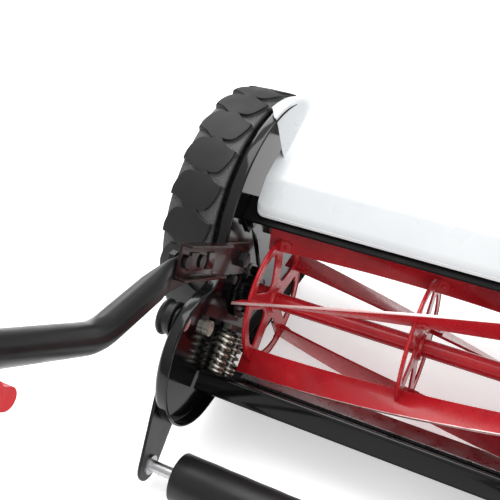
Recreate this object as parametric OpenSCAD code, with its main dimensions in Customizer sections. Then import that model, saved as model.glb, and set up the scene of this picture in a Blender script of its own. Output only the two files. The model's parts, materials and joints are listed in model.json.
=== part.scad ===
// Push reel lawn mower, 300 mm cut, 254 mm wheels.
// X is across the mower (right positive), Y is forward, Z is up.
// Side parts are drawn for the left side, in axle coordinates: the wheel
// axle is the line y = 0, z = 0, and place() moves it to its final height.

/* [Wheels] */
// Outer radius of the tyre
wheel_r = 127; // [120:1:135]
// Width of the tyre
tyre_w = 46; // [38:1:50]
// Radius where the tyre sits on the rim
rim_r = 106; // [104:1:108]
// Radius of the wheel axle
axle_r = 6; // [5:0.5:7]
// Teeth of the ring gear inside the wheel
ring_teeth = 71; // [71:1:71]
// Teeth of the drive pinion
pinion_teeth = 12; // [12:1:12]
// Gear module
gear_module = 2.5; // [2.5:0.1:2.5]

/* [Reel] */
// Length of the reel blades
blade_len = 300; // [280:1:302]
// Radius swept by the blade edges
reel_r = 73.75; // [73:0.05:74]
// Height of a blade strip
blade_h = 25; // [20:1:27]
// Thickness of a blade strip
blade_t = 2.5; // [2:0.1:3]
// Number of blades
blade_count = 5; // [5:1:5]
// Twist of a blade from end to end, in degrees
blade_twist = 56.7; // [40:0.1:72]
// Angle of the first blade at the left end
blade_phase = 148.7; // [100:0.1:200]
// Distance between spiders
spider_gap = 140; // [130:1:142]
// Radius of a spider disc
spider_r = 61.5; // [58:0.5:64]

/* [Frame] */
// Outer face of the side plates, from the middle plane
plate_x = 173; // [173:1:175]
// Thickness of the side plate sheet
plate_t = 2; // [1.5:0.1:2.5]
// Height of the side plate's rolled rim
rim_depth = 12.5; // [8:0.5:12.5]
// Radius of the plate round the wheel axle
plate_r = 123; // [120:1:123]
// Radius of the plate's rear lobe
lobe_r = 63.5; // [60:0.5:66]
// Thickness of the hood sheet
hood_t = 1.2; // [1:0.1:1.5]

/* [Bed knife] */
// Angle on the reel where the knife touches the blade path
knife_angle = 250; // [245:1:255]
// Gap between the knife and the blade edges
knife_gap = 0.15; // [0.1:0.05:0.3]
// Length of an adjuster spring
spring_len = 35; // [30:1:38]

/* [Roller] */
// Radius of the rear roller
roller_r = 21; // [18:1:22]
// Length of the rear roller
roller_len = 290; // [240:1:300]

/* [Handle] */
// Slope of the handle where it rests, in degrees
handle_slope = 35; // [30:1:38]
// Radius of the handle tubes
tube_r = 11; // [10:0.5:12]
// Wall of the handle tubes
tube_wall = 1.2; // [1:0.1:1.6]
// Length of the upper handle's legs, up to its cross bar
upper_len = 640; // [560:10:700]
// Radius of the foam grip
grip_r = 16.5; // [14:0.5:18]

/* [Hidden] */
$fn = 64;

// Gears: an internal ring in the wheel and an external pinion on the reel shaft
pressure_angle = 25;
tooth_add = 0.8 * gear_module;
tooth_ded = 1.1 * gear_module;
backlash = 0.15;
ring_pitch_r = ring_teeth * gear_module / 2;
pinion_pitch_r = pinion_teeth * gear_module / 2;
centre_distance = ring_pitch_r - pinion_pitch_r;
ring_body_r = 98;
gear_in_x = plate_x + 6;
ring_w = 18;
pinion_x0 = gear_in_x - 1;
pinion_x1 = pinion_x0 + 15;

// Reel axis: behind and below the wheel axle, one gear centre distance away
reel_dir = 210;
reel_y = centre_distance * cos(reel_dir);
reel_z = centre_distance * sin(reel_dir);
journal_r = 6;
reel_tube_r = 8;
collar_r = 11;
journal_x = plate_x + 22.5;
run_gap = 0.05;
bearing_r = 11;
housing_r = 17;

// Tyre and wheel across the mower
tyre_x0 = plate_x + 4;
tyre_x1 = tyre_x0 + tyre_w;
hub_r = 20;
bush_r = 9;
hub_x1 = tyre_x1 - 2;
wheel_web_x = gear_in_x + ring_w + 2;

// Side plate outline
lobe_y = -155;
lobe_z = -41;
plate_bottom = -104.5;
plate_in_x = plate_x - plate_t;
rim_x = plate_in_x - rim_depth + plate_t;

// Bed knife section: foot under the knife, web up to the apex, rear lip
knife_y = reel_y + (reel_r + knife_gap) * cos(knife_angle);
knife_z = reel_z + (reel_r + knife_gap) * sin(knife_angle);
knife_slope = 17;
knife_w = 28;
knife_t = 3;
foot_y = knife_y - knife_w * cos(knife_slope);
foot_z = knife_z + knife_w * sin(knife_slope);
apex_y = -150;
apex_z = -64;
carrier_t = 3;
web_angle = atan2(apex_z - foot_z, foot_y - apex_y);
heel_drop = knife_t + carrier_t / 2;
heel_y = foot_y - heel_drop * sin(knife_slope);
heel_z = foot_z - heel_drop * cos(knife_slope);
lip_len = 17;
lip_slope = 42;
carrier_x = plate_in_x - 2;
// Adjuster bolts pass through the web near each end
bolt_x = 160;
bolt_front = 9;
bolt_rear = 38;
bolt_r = 4;
spring_r = 5.9;
spring_wire_r = 1.6;
spring_turns = 5.5;

// Height arms and rear roller
arm_pivot_y = -136;
arm_pivot_z = -27;
arm_knob_y = -170;
arm_knob_z = 5;
roller_y = -232;
roller_z = roller_r - wheel_r;
arm_t = 3;
stud_r = 4;

// Handle
pivot_y = -95;
pivot_z = 25;
bracket_slope = 32;
bracket_h = 28;
bracket_x = plate_x - 14;
bracket_start = -14;
bracket_end = 114;
tube_x = 163.5;
flat_t = 5;
flat_h = 26;
flat_start_y = -150;
flat_start_z = 58;
kink_y = -199;
kink_z = 76;
bend_y = -286;
bend_z = 84.5;
joint_run = 165;
lower_run = 195;
overlap_back = 30;
upper_x = tube_x - 2 * tube_r - 0.6;
joint_y = bend_y - joint_run * cos(handle_slope);
joint_z = bend_z + joint_run * sin(handle_slope);
corner_r = 60;
bar_y = joint_y - upper_len * cos(handle_slope);
bar_z = joint_z + upper_len * sin(handle_slope);
// The middle of the mower's length is put at y = 0
back_reach = -bar_y + grip_r;
shift_y = (back_reach - wheel_r) / 2;

// ---------- helpers ----------

// Puts axle coordinates at their final place: the wheels stand on z = 0
module place() translate([0, shift_y, wheel_r]) children();

// side is -1 for the left side, as drawn, and 1 for the right side
module on_side(side) {
    if (side < 0) children();
    else mirror([1, 0, 0]) children();
}

module both_sides() {
    children();
    mirror([1, 0, 0]) children();
}

// Extrudes a (y, z) outline from x0 to x1
module across(x0, x1) translate([x0, 0, 0]) rotate([90, 0, 90]) linear_extrude(x1 - x0) children();

// Round bar along X
module rod(x0, x1, y, z, r) translate([x0, y, z]) rotate([0, 90, 0]) cylinder(h = x1 - x0, r = r);

// Hexagon bar along X, size across its corners
module hex_rod(x0, x1, y, z, r) translate([x0, y, z]) rotate([0, 90, 0]) cylinder(h = x1 - x0, r = r, $fn = 6);

// Round bar between two points
module bar(a, b, r) {
    v = b - a;
    len_v = norm(v);
    translate(a) rotate([0, acos(v[2] / len_v), atan2(v[1], v[0])]) cylinder(h = len_v, r = r);
}

// Part of a flat ring, between two angles
module ring_sector(r0, r1, a0, a1) {
    far = r1 * 2;
    steps = 4;
    intersection() {
        difference() {
            circle(r1, $fn = 180);
            circle(r0, $fn = 180);
        }
        polygon(concat([[0, 0]], [for (i = [0:steps]) let (a = a0 + (a1 - a0) * i / steps)
            [far * cos(a), far * sin(a)]]));
    }
}

function involute(angle) = tan(angle) * 180 / PI - angle;

// Half the tooth thickness at radius r, as an angle
function half_tooth(r, teeth, gap) =
    let (pitch_r = teeth * gear_module / 2, base_r = pitch_r * cos(pressure_angle))
    90 / teeth - gap / pitch_r * 90 / PI + involute(pressure_angle)
        - involute(acos(min(1, base_r / max(r, base_r))));

function gear_outline(teeth, root_r, tip_r, gap) = [
    for (i = [0:teeth - 1]) for (k = [0:11])
        let (rise = k < 6 ? k / 5 : (11 - k) / 5,
             r = root_r + (tip_r - root_r) * rise,
             a = i * 360 / teeth + (k < 6 ? -1 : 1) * half_tooth(r, teeth, gap))
        [r * cos(a), r * sin(a)]
];

// ---------- chassis ----------

// Round plate at the wheel, rear lobe and a concave fillet where they meet on
// top. inset shrinks the outline evenly.
function arc_points(centre, r, from, to, steps) = [
    for (i = [0:steps]) let (a = from + (to - from) * i / steps)
        [centre[0] + r * cos(a), centre[1] + r * sin(a)]
];

module plate_outline(inset = 0) {
    fillet = 20 + inset;
    big = plate_r - inset;
    small = lobe_r - inset;
    span = norm([lobe_y, lobe_z]);
    along = (pow(span, 2) + pow(big + fillet, 2) - pow(small + fillet, 2)) / (2 * span);
    off_line = sqrt(pow(big + fillet, 2) - pow(along, 2));
    lean = atan2(lobe_z, lobe_y);
    centre = [along * cos(lean) + off_line * sin(lean), along * sin(lean) - off_line * cos(lean)];
    big_end = atan2(centre[1], centre[0]);
    small_start = atan2(centre[1] - lobe_z, centre[0] - lobe_y);
    polygon(concat(
        arc_points([0, 0], big, asin((plate_bottom + inset) / big), big_end, 80),
        arc_points(centre, fillet, big_end - 180, small_start - 180, 12),
        arc_points([lobe_y, lobe_z], small, small_start, 270, 60)
    ));
}

// Arc slot round the arm pivot, for the height stud
module height_slot() {
    slot_r = norm([arm_knob_y - arm_pivot_y, arm_knob_z - arm_pivot_z]);
    knob_angle = atan2(arm_knob_z - arm_pivot_z, arm_knob_y - arm_pivot_y);
    half_w = stud_r + 0.4;
    translate([arm_pivot_y, arm_pivot_z]) {
        ring_sector(slot_r - half_w, slot_r + half_w, knob_angle - 15, knob_angle + 9);
        for (a = [-15, 9]) rotate(knob_angle + a) translate([slot_r, 0]) circle(half_w - 0.05);
    }
}

module side_plate(side) {
    color([0.06, 0.06, 0.07]) place() on_side(side) difference() {
        union() {
            across(-plate_x, -plate_in_x) plate_outline();
            across(-plate_x, -rim_x) difference() {
                plate_outline();
                plate_outline(plate_t);
            }
        }
        rod(-plate_x - 1, -rim_x, 0, 0, axle_r);
        rod(-plate_x - 1, -rim_x, reel_y, reel_z, journal_r + 2);
        rod(-plate_x - 1, -rim_x, arm_pivot_y, arm_pivot_z, bolt_r);
        rod(-plate_x - 1, -plate_in_x + 1, pivot_y, pivot_z, bolt_r);
        across(-plate_x - 1, -plate_in_x + 1) height_slot();
        // gap in the rolled rim under the knife carrier
        translate([-plate_in_x + 0.5, heel_y - 22, plate_bottom - 1]) cube([rim_depth, 62, plate_t + 2]);
    }
}

// Hood: a steep lip, a straight slope and an arc concentric with the wheels,
// with shoulders that cover the plates' rims
hood_r = 125;
hood_rear = [-62, 56];
hood_knee = [-39, 78.5];
hood_front_angle = 14;
hood_crest_angle = 66;
hood_crest = hood_r * [cos(hood_crest_angle), sin(hood_crest_angle)];
hood_slope = atan2(hood_crest[1] - hood_knee[1], hood_crest[0] - hood_knee[0]);
hood_x = 160;
shoulder_x = 150;

// A flat strip of sheet from one (y, z) point to the next, with its top on the line
module sheet_run(from, to) {
    step = to - from;
    translate(from) rotate(atan2(step[1], step[0])) translate([0, -hood_t]) square([norm(step), hood_t]);
    translate(from + hood_t / 2 * [step[1], -step[0]] / norm(step)) circle(hood_t / 2, $fn = 24);
}

module hood_sheet() {
    ring_sector(hood_r - hood_t, hood_r, hood_front_angle, hood_crest_angle);
    sheet_run(hood_rear, hood_knee);
    sheet_run(hood_knee, hood_crest);
    translate(hood_rear - [0, 2]) circle(2, $fn = 24);
}

module hood() {
    color([0.93, 0.94, 0.95]) place() {
        across(-hood_x, hood_x) hood_sheet();
        both_sides() {
            across(-plate_x - 1.5, -shoulder_x)
                ring_sector(hood_r - hood_t, hood_r, hood_front_angle, 90);
            // end wall between the shoulder and the main sheet
            across(-shoulder_x - 1.5, -shoulder_x) polygon([
                [0, hood_r - hood_t / 2],
                [0, hood_crest[1] - hood_t - hood_crest[0] * tan(hood_slope)],
                hood_crest - [0, hood_t],
                [hood_crest[0] * 0.6, sqrt(pow(hood_r - hood_t / 2, 2) - pow(hood_crest[0] * 0.6, 2))],
                [hood_crest[0] * 0.3, sqrt(pow(hood_r - hood_t / 2, 2) - pow(hood_crest[0] * 0.3, 2))]
            ]);
        }
    }
}

// Rear tie bar under the hood's back edge, with a tab bent down at each end
tie_y = -66;
tie_z = 44;
tie_slope = 27.5;

module tie_bar() {
    color([0.05, 0.05, 0.06]) place() {
        across(-plate_in_x, plate_in_x) translate([tie_y, tie_z]) rotate(tie_slope) square([26, 2.5]);
        both_sides() across(-plate_in_x, -plate_in_x + 2.5)
            translate([tie_y, tie_z]) rotate(tie_slope) translate([0, -22]) square([26, 22.5]);
    }
}

module frame_screws() {
    screw_l = 5;
    screw_ring = housing_r + 5.2;
    color([0.1, 0.1, 0.11]) place() both_sides() {
        // tie bar tabs to the side plate
        for (u = [7, 19]) translate([0, tie_y, tie_z]) rotate([tie_slope, 0, 0])
            hex_rod(-plate_in_x + 2.5, -plate_in_x + 2.5 + screw_l, u, -12, 5.5);
        // bearing housing to the side plate
        for (a = [30, 150, 270])
            hex_rod(-plate_in_x + 4, -plate_in_x + 4 + screw_l, reel_y + screw_ring * cos(a),
                reel_z + screw_ring * sin(a), 4.5);
    }
}

module bearing_housings() {
    color([0.07, 0.07, 0.08]) place() both_sides() difference() {
        union() {
            rod(-plate_in_x, -plate_in_x + 15, reel_y, reel_z, housing_r);
            rod(-plate_in_x, -plate_in_x + 4, reel_y, reel_z, housing_r + 10);
        }
        rod(-plate_in_x - 1, -plate_in_x + 3, reel_y, reel_z, journal_r + 2);
        rod(-plate_in_x + 3, -plate_in_x + 16, reel_y, reel_z, bearing_r);
    }
}

module reel_bearings() {
    color([0.6, 0.6, 0.62]) place() both_sides() difference() {
        rod(-plate_in_x + 3, -plate_in_x + 12, reel_y, reel_z, bearing_r);
        rod(-plate_in_x + 2, -plate_in_x + 13, reel_y, reel_z, journal_r + run_gap);
        difference() {
            rod(-plate_in_x + 11, -plate_in_x + 13, reel_y, reel_z, bearing_r - 1.2);
            rod(-plate_in_x + 10, -plate_in_x + 14, reel_y, reel_z, journal_r + 1.4);
        }
    }
}

module axle(side) {
    color([0.55, 0.55, 0.57]) place() on_side(side) {
        rod(-hub_x1 + 2, -plate_in_x + 9, 0, 0, axle_r);
        rod(-plate_x - 2.5, -plate_x, 0, 0, 14);
    }
}

module axle_nuts() {
    color([0.6, 0.6, 0.62]) place() both_sides() difference() {
        hex_rod(-plate_in_x, -plate_in_x + 7, 0, 0, 11);
        rod(-plate_in_x - 1, -plate_in_x + 8, 0, 0, axle_r);
    }
}

module wheel_nuts() {
    color([0.6, 0.6, 0.62]) place() both_sides() difference() {
        hex_rod(-hub_x1 + 3, -hub_x1 + 8, 0, 0, 10);
        rod(-hub_x1 + 2, -hub_x1 + 9, 0, 0, axle_r);
    }
}

// Local frame of the carrier's web: u runs up the web from its foot and
// n stands square to it, towards the reel
module on_web() translate([0, foot_y, foot_z]) rotate([180 - web_angle, 0, 0]) mirror([0, 0, 1]) children();

module adjuster_bracket(side) {
    seat = carrier_t + spring_len;
    u0 = bolt_front - 10;
    u1 = bolt_rear + 10;
    color([0.05, 0.05, 0.06]) place() on_side(side) on_web() difference() {
        union() {
            translate([-plate_in_x, u0, seat]) cube([plate_in_x - bolt_x + 7.2, u1 - u0, 3]);
            translate([-plate_in_x, u0, seat - 14]) cube([2.5, u1 - u0, 15]);
        }
        for (u = [bolt_front, bolt_rear])
            translate([-bolt_x, u, seat - 1]) cylinder(h = 5, r = bolt_r);
    }
}

module adjuster_screws() {
    seat = carrier_t + spring_len;
    color([0.72, 0.68, 0.5]) place() both_sides() on_web() for (u = [bolt_front, bolt_rear]) {
        translate([-bolt_x, u, -9]) cylinder(h = seat + 12, r = bolt_r - 0.02);
        translate([-bolt_x, u, seat + 3]) cylinder(h = 5, r = 7, $fn = 6);
    }
}

// Compression spring as one swept coil of round wire
function coil_ring(step, steps, length) =
    let (a = 360 * spring_turns * step / steps,
         z = spring_wire_r + (length - 2 * spring_wire_r) * step / steps)
    [for (k = [0:5]) let (b = 60 * k, r = spring_r + spring_wire_r * cos(b))
        [r * cos(a), r * sin(a), z + spring_wire_r * sin(b)]];

module coil_spring(length) {
    steps = 66;
    sides = 6;
    points = [for (s = [0:steps]) each coil_ring(s, steps, length)];
    walls = [for (s = [0:steps - 1]) for (k = [0:sides - 1])
        [s * sides + k, s * sides + (k + 1) % sides,
         (s + 1) * sides + (k + 1) % sides, (s + 1) * sides + k]];
    first = [for (k = [0:sides - 1]) sides - 1 - k];
    last = [for (k = [0:sides - 1]) steps * sides + k];
    polyhedron(points, concat([first], walls, [last]), convexity = 8);
}

module knife_springs(u) {
    clear_end = 0.1;
    color([0.78, 0.74, 0.55]) place() both_sides() on_web()
        translate([-bolt_x, u, clear_end]) coil_spring(carrier_t + spring_len - 2 * clear_end);
}

module handle_pivot_bolts() {
    spacer_x = bracket_x + 0.2;
    color([0.12, 0.12, 0.13]) place() both_sides() {
        rod(-plate_x - 2.5, -plate_x, pivot_y, pivot_z, 8);
        rod(-plate_x, -bracket_x + 8.5, pivot_y, pivot_z, bolt_r);
        rod(-plate_in_x, -spacer_x, pivot_y, pivot_z, 9);
        hex_rod(-bracket_x + 2.2, -bracket_x + 8, pivot_y, pivot_z, 7.5);
    }
}

module handle_stop_pins() {
    run = 8;
    drop = bracket_h / 2 + 4.1;
    color([0.12, 0.12, 0.13]) place() both_sides()
        rod(-plate_in_x, -bracket_x + 5,
            pivot_y - run * cos(bracket_slope) - drop * sin(bracket_slope),
            pivot_z + run * sin(bracket_slope) - drop * cos(bracket_slope), 4);
}

module arm_pivot_bolts() {
    color([0.75, 0.74, 0.7]) place() both_sides() {
        rod(-plate_x - 5.4, -plate_x - 3.6, arm_pivot_y, arm_pivot_z, 8);
        rod(-plate_x - 4, -plate_in_x + 1, arm_pivot_y, arm_pivot_z, bolt_r);
        rod(-plate_in_x, -plate_in_x + 5, arm_pivot_y, arm_pivot_z, 7);
    }
}

// ---------- wheels ----------

module tyre(side) {
    skin = 5;
    shoulder = 5;
    half = tyre_w / 2;
    color([0.09, 0.09, 0.1]) place() on_side(side) translate([-tyre_x0 - half, 0, 0])
        rotate([0, 90, 0]) rotate_extrude($fn = 120) difference() {
            polygon([[rim_r, -half], [wheel_r - shoulder, -half], [wheel_r, -half + shoulder],
                [wheel_r, half - shoulder], [wheel_r - shoulder, half], [rim_r, half]]);
            translate([rim_r - 1, -half + skin]) square([wheel_r - rim_r - skin, tyre_w - 2 * skin]);
        }
}

module wheel_windows() {
    spokes = 8;
    difference() {
        circle(r = ring_body_r - 12);
        circle(r = hub_r + 10);
        for (i = [0:spokes - 1]) rotate(i * 360 / spokes) translate([0, -7]) square([120, 14]);
    }
}

module wheel(side) {
    web_t = 4;
    hub_recess = 8;
    color([0.1, 0.1, 0.11]) place() on_side(side) difference() {
        union() {
            // rim band, web and hub
            rod(-tyre_x1 + 1, -tyre_x0 - 1, 0, 0, rim_r);
        }
        // hollow outboard side, left of the web
        difference() {
            rod(-tyre_x1, -wheel_web_x - web_t, 0, 0, rim_r - 5);
            rod(-tyre_x1 - 1, -wheel_web_x, 0, 0, hub_r);
        }
        // the hub stops short of the rim's edge
        rod(-tyre_x1, -hub_x1, 0, 0, rim_r - 5);
        // hollow inboard side, round the gear
        difference() {
            rod(-wheel_web_x, -tyre_x0, 0, 0, rim_r - 5);
            rod(-wheel_web_x - 1, -tyre_x0 + 1, 0, 0, ring_body_r);
        }
        // ring gear teeth
        difference() {
            across(-wheel_web_x, -tyre_x0) rotate(reel_dir)
                polygon(gear_outline(ring_teeth, ring_pitch_r - tooth_add,
                    ring_pitch_r + tooth_ded, -backlash));
            rod(-wheel_web_x - 1, -tyre_x0 + 1, 0, 0, hub_r);
        }
        rod(-tyre_x1, -tyre_x0 + 1, 0, 0, bush_r);
        rod(-hub_x1 - 1, -hub_x1 + hub_recess, 0, 0, 12);
        across(-wheel_web_x - web_t - 1, -wheel_web_x + 1) wheel_windows();
    }
}

module wheel_bush(side) {
    color([0.75, 0.62, 0.35]) place() on_side(side) difference() {
        rod(-hub_x1 + 8, -tyre_x0 - 1, 0, 0, bush_r);
        rod(-tyre_x1, -tyre_x0, 0, 0, axle_r + run_gap);
    }
}

// Domed cap that plugs the hub's recess
module hub_cap(side) {
    color([0.12, 0.12, 0.13]) place() on_side(side) translate([-hub_x1, 0, 0]) rotate([0, -90, 0])
        rotate_extrude() union() {
            polygon([[0, 0], [hub_r + 8, 0], [hub_r + 8, 1.5], [hub_r, 4], [hub_r - 9, 6.2], [0, 6.2]]);
            translate([10.6, -2]) square([1.3, 3]);
        }
}

// ---------- drive ----------

module ratchet_recess() {
    circle(8.5);
    for (i = [0:5]) rotate(60 * i) polygon([[0, -1], [10.3, -2.6], [10.3, 2.6], [0, 4]]);
}

module pinion(side) {
    color([0.35, 0.35, 0.37]) place() on_side(side) translate([0, reel_y, reel_z]) difference() {
        across(-pinion_x1, -pinion_x0) rotate(reel_dir)
            polygon(gear_outline(pinion_teeth, pinion_pitch_r - tooth_ded,
                pinion_pitch_r + tooth_add, backlash));
        rod(-pinion_x1 - 1, -pinion_x0 + 1, 0, 0, journal_r + run_gap);
        across(-pinion_x0 - 7.5, -pinion_x0 + 1) ratchet_recess();
    }
}

// Sliding pawl across the shaft, inside the pinion's ratchet recess
module ratchet_pawls() {
    color([0.5, 0.5, 0.52]) place() both_sides() translate([-pinion_x0 - 6.5, reel_y, reel_z])
        translate([0, -8.2, -2]) cube([5, 16.4, 4]);
}

module pinion_clips() {
    color([0.3, 0.3, 0.32]) place() both_sides() difference() {
        rod(-pinion_x1 - 1.6, -pinion_x1 - 0.4, reel_y, reel_z, journal_r + 3.5);
        rod(-pinion_x1 - 2, -pinion_x1, reel_y, reel_z, journal_r);
    }
}

// ---------- reel ----------

module reel_shaft() {
    collar_x = blade_len / 2 - 7;
    color([0.75, 0.08, 0.1]) place() difference() {
        union() {
            rod(-journal_x, journal_x, reel_y, reel_z, journal_r);
            rod(-collar_x, collar_x, reel_y, reel_z, reel_tube_r);
            both_sides() rod(-blade_len / 2 - 4.5, -spider_gap - 5.2, reel_y, reel_z, collar_r);
        }
        rod(-blade_len / 2, blade_len / 2, reel_y, reel_z, 4.5);
        both_sides() translate([-pinion_x0 - 6.6, reel_y - 20, reel_z - 2.1]) cube([5.2, 40, 4.2]);
    }
}

// Angle of blade i at a place across the mower
function blade_angle(i, x) =
    blade_phase + i * 360 / blade_count - blade_twist * (x + blade_len / 2) / blade_len;

module reel_spider(x) {
    disc_t = 2;
    rim_w = 5;
    slot_w = blade_t + 0.7;
    tab_l = 11;
    tab_twist = blade_twist * tab_l / blade_len;
    inner_r = reel_r - blade_h;
    color([0.8, 0.1, 0.12]) place() translate([0, reel_y, reel_z]) {
        across(x - disc_t / 2, x + disc_t / 2) difference() {
            circle(r = spider_r);
            circle(r = reel_tube_r + 0.02);
            difference() {
                circle(r = spider_r - rim_w);
                circle(r = 16);
                for (i = [0:blade_count - 1]) rotate(blade_angle(i, x)) translate([0, -6.5]) square([80, 13]);
            }
            for (i = [0:blade_count - 1]) rotate(blade_angle(i, x))
                translate([inner_r - 0.5, -slot_w / 2]) square([80, slot_w]);
        }
        across(x + disc_t / 2 - 0.01, x + 5) difference() {
            circle(r = 12);
            circle(r = reel_tube_r + 0.02);
        }
        // tabs bent out beside each blade
        for (i = [0:blade_count - 1]) translate([x + disc_t / 2 - 0.01, 0, 0]) rotate([90, 0, 90])
            rotate(blade_angle(i, x + disc_t / 2)) linear_extrude(tab_l, twist = tab_twist, slices = 3, segments = 4)
                translate([inner_r + 1, blade_t / 2 + 0.1]) square([spider_r - inner_r - 1.5, 1.8]);
    }
}

module reel_blade(i) {
    color([0.85, 0.1, 0.12]) place() translate([-blade_len / 2, reel_y, reel_z]) rotate([90, 0, 90])
        rotate(blade_angle(i, -blade_len / 2)) linear_extrude(blade_len, twist = blade_twist, slices = 48, segments = 4)
            translate([reel_r - blade_h, -blade_t / 2]) square([blade_h, blade_t]);
}

// ---------- bed knife ----------

module knife_carrier() {
    lip_y = apex_y - lip_len * cos(lip_slope);
    lip_z = apex_z - lip_len * sin(lip_slope);
    color([0.05, 0.05, 0.06]) place() difference() {
        union() {
            across(-carrier_x, carrier_x) {
                translate([foot_y, foot_z]) rotate(-knife_slope)
                    translate([0, -knife_t - carrier_t]) square([knife_w - 3, carrier_t]);
                hull() {
                    translate([heel_y, heel_z]) circle(r = carrier_t / 2, $fn = 24);
                    translate([apex_y, apex_z - 1.5]) circle(r = carrier_t / 2, $fn = 24);
                }
                translate([apex_y, apex_z - 2]) circle(r = 2.4, $fn = 32);
                hull() {
                    translate([apex_y, apex_z - 2]) circle(r = carrier_t / 2, $fn = 24);
                    translate([lip_y, lip_z]) circle(r = carrier_t / 2, $fn = 24);
                }
            }
        }
        both_sides() on_web() for (u = [bolt_front, bolt_rear])
            translate([-bolt_x, u, -20]) cylinder(h = 60, r = bolt_r + 0.35);
    }
}

module bed_knife() {
    color([0.45, 0.45, 0.47]) place() across(-blade_len / 2, blade_len / 2)
        translate([knife_y, knife_z]) rotate(180 - knife_slope)
            polygon([[0, 0], [knife_w - 4, 0], [knife_w - 4, knife_t], [2, knife_t]]);
}

module knife_screws() {
    color([0.3, 0.3, 0.32]) place() for (x = [-120:60:120])
        translate([x, foot_y, foot_z]) rotate([-knife_slope, 0, 0]) translate([0, 10, -carrier_t - knife_t - 3.6])
            cylinder(h = 3.6, r = 5, $fn = 32);
}

// ---------- rear roller ----------

module arm_outline() {
    difference() {
        hull() {
            translate([arm_pivot_y, arm_pivot_z]) circle(14, $fn = 32);
            translate([arm_knob_y, arm_knob_z]) circle(12, $fn = 32);
            translate([roller_y, roller_z]) circle(15, $fn = 32);
        }
        translate([arm_pivot_y, arm_pivot_z]) circle(bolt_r + 0.05);
        translate([roller_y, roller_z]) circle(5);
    }
}

module height_arm(side) {
    color([0.14, 0.14, 0.15]) place() on_side(side)
        across(-plate_x - 0.4 - arm_t, -plate_x - 0.4) arm_outline();
}

module roller_shaft() {
    color([0.5, 0.5, 0.52]) place() {
        rod(-plate_x - 8, plate_x + 8, roller_y, roller_z, 5);
        both_sides() {
            rod(-plate_x - 6.5, -plate_x - 0.4 - arm_t, roller_y, roller_z, 8.5);
            rod(-plate_x - 0.4, -plate_x + 1.6, roller_y, roller_z, 8.5);
        }
    }
}

// The stud is welded in the arm, runs in the plate's slot and carries the knob
module height_studs() {
    color([0.5, 0.5, 0.52]) place() both_sides() {
        rod(-plate_x - 13, -plate_x - 3.4, arm_knob_y, arm_knob_z, stud_r);
        rod(-plate_x - 0.4, -plate_in_x + 3.5, arm_knob_y, arm_knob_z, stud_r);
        rod(-plate_in_x + 0.3, -plate_in_x + 3, arm_knob_y, arm_knob_z, 7);
    }
}

module rear_roller() {
    end_r = 5 + run_gap;
    color([0.1, 0.1, 0.11]) place() difference() {
        rod(-roller_len / 2, roller_len / 2, roller_y, roller_z, roller_r);
        difference() {
            rod(-roller_len / 2 + 8, roller_len / 2 - 8, roller_y, roller_z, roller_r - 3.5);
            rod(-6, 6, roller_y, roller_z, roller_r);
        }
        rod(-roller_len, roller_len, roller_y, roller_z, end_r);
    }
}

module height_knob(side) {
    knob_x = plate_x + 3.6;
    color([0.1, 0.1, 0.11]) place() on_side(side) difference() {
        union() {
            rod(-knob_x - 4, -knob_x, arm_knob_y, arm_knob_z, 16.5);
            rod(-knob_x - 12, -knob_x - 4, arm_knob_y, arm_knob_z, 14.5);
            rod(-knob_x - 15, -knob_x - 12, arm_knob_y, arm_knob_z, 15.5);
        }
        rod(-knob_x - 10, -knob_x + 1, arm_knob_y, arm_knob_z, stud_r + run_gap);
    }
}

// ---------- handle ----------

// Local frame of the bracket: s runs up the slope from the pivot, h is up from it
module on_bracket() translate([0, pivot_y, pivot_z]) rotate([-bracket_slope, 0, 0]) mirror([0, 1, 0]) children();

bracket_bolts = [80, 104];

module handle_bracket(side) {
    sheet = 2;
    flange_start = 40;
    half = bracket_h / 2;
    color([0.14, 0.08, 0.08]) place() on_side(side) on_bracket() difference() {
        union() {
            translate([-bracket_x, bracket_start, -half]) cube([sheet, bracket_end - bracket_start, bracket_h]);
            for (z = [-half, half - sheet])
                translate([-bracket_x, flange_start, z]) cube([10, bracket_end - flange_start, sheet]);
            // embossed pads
            for (s = [62, 92]) translate([-bracket_x + sheet - 0.1, s - 6, -7]) cube([1.4, 12, 14]);
        }
        rod(-bracket_x - 1, -bracket_x + 3, 0, 0, bolt_r + run_gap);
        for (s = bracket_bolts) rod(-bracket_x - 1, -bracket_x + 5, s, 0, 3.1);
    }
}

// Lower tube, in axle coordinates: a short run behind the bracket, a sharp
// bend, then a straight run up the handle's slope
tube_slope = atan2(bend_z - kink_z, kink_y - bend_y);
bend_swell = 0.2;

module on_slope(y, z, slope) translate([-tube_x, y, z]) rotate([-slope, 0, 0]) mirror([0, 1, 0]) children();

module lower_run_bar(r, start, end) {
    first_run = norm([bend_y - kink_y, bend_z - kink_z]);
    on_slope(kink_y, kink_z, tube_slope) rotate([-90, 0, 0])
        translate([0, 0, start]) cylinder(h = first_run - start, r = r);
    on_slope(bend_y, bend_z, handle_slope) rotate([-90, 0, 0]) cylinder(h = end, r = r);
    translate([-tube_x, bend_y, bend_z]) sphere(r + bend_swell);
}

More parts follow.
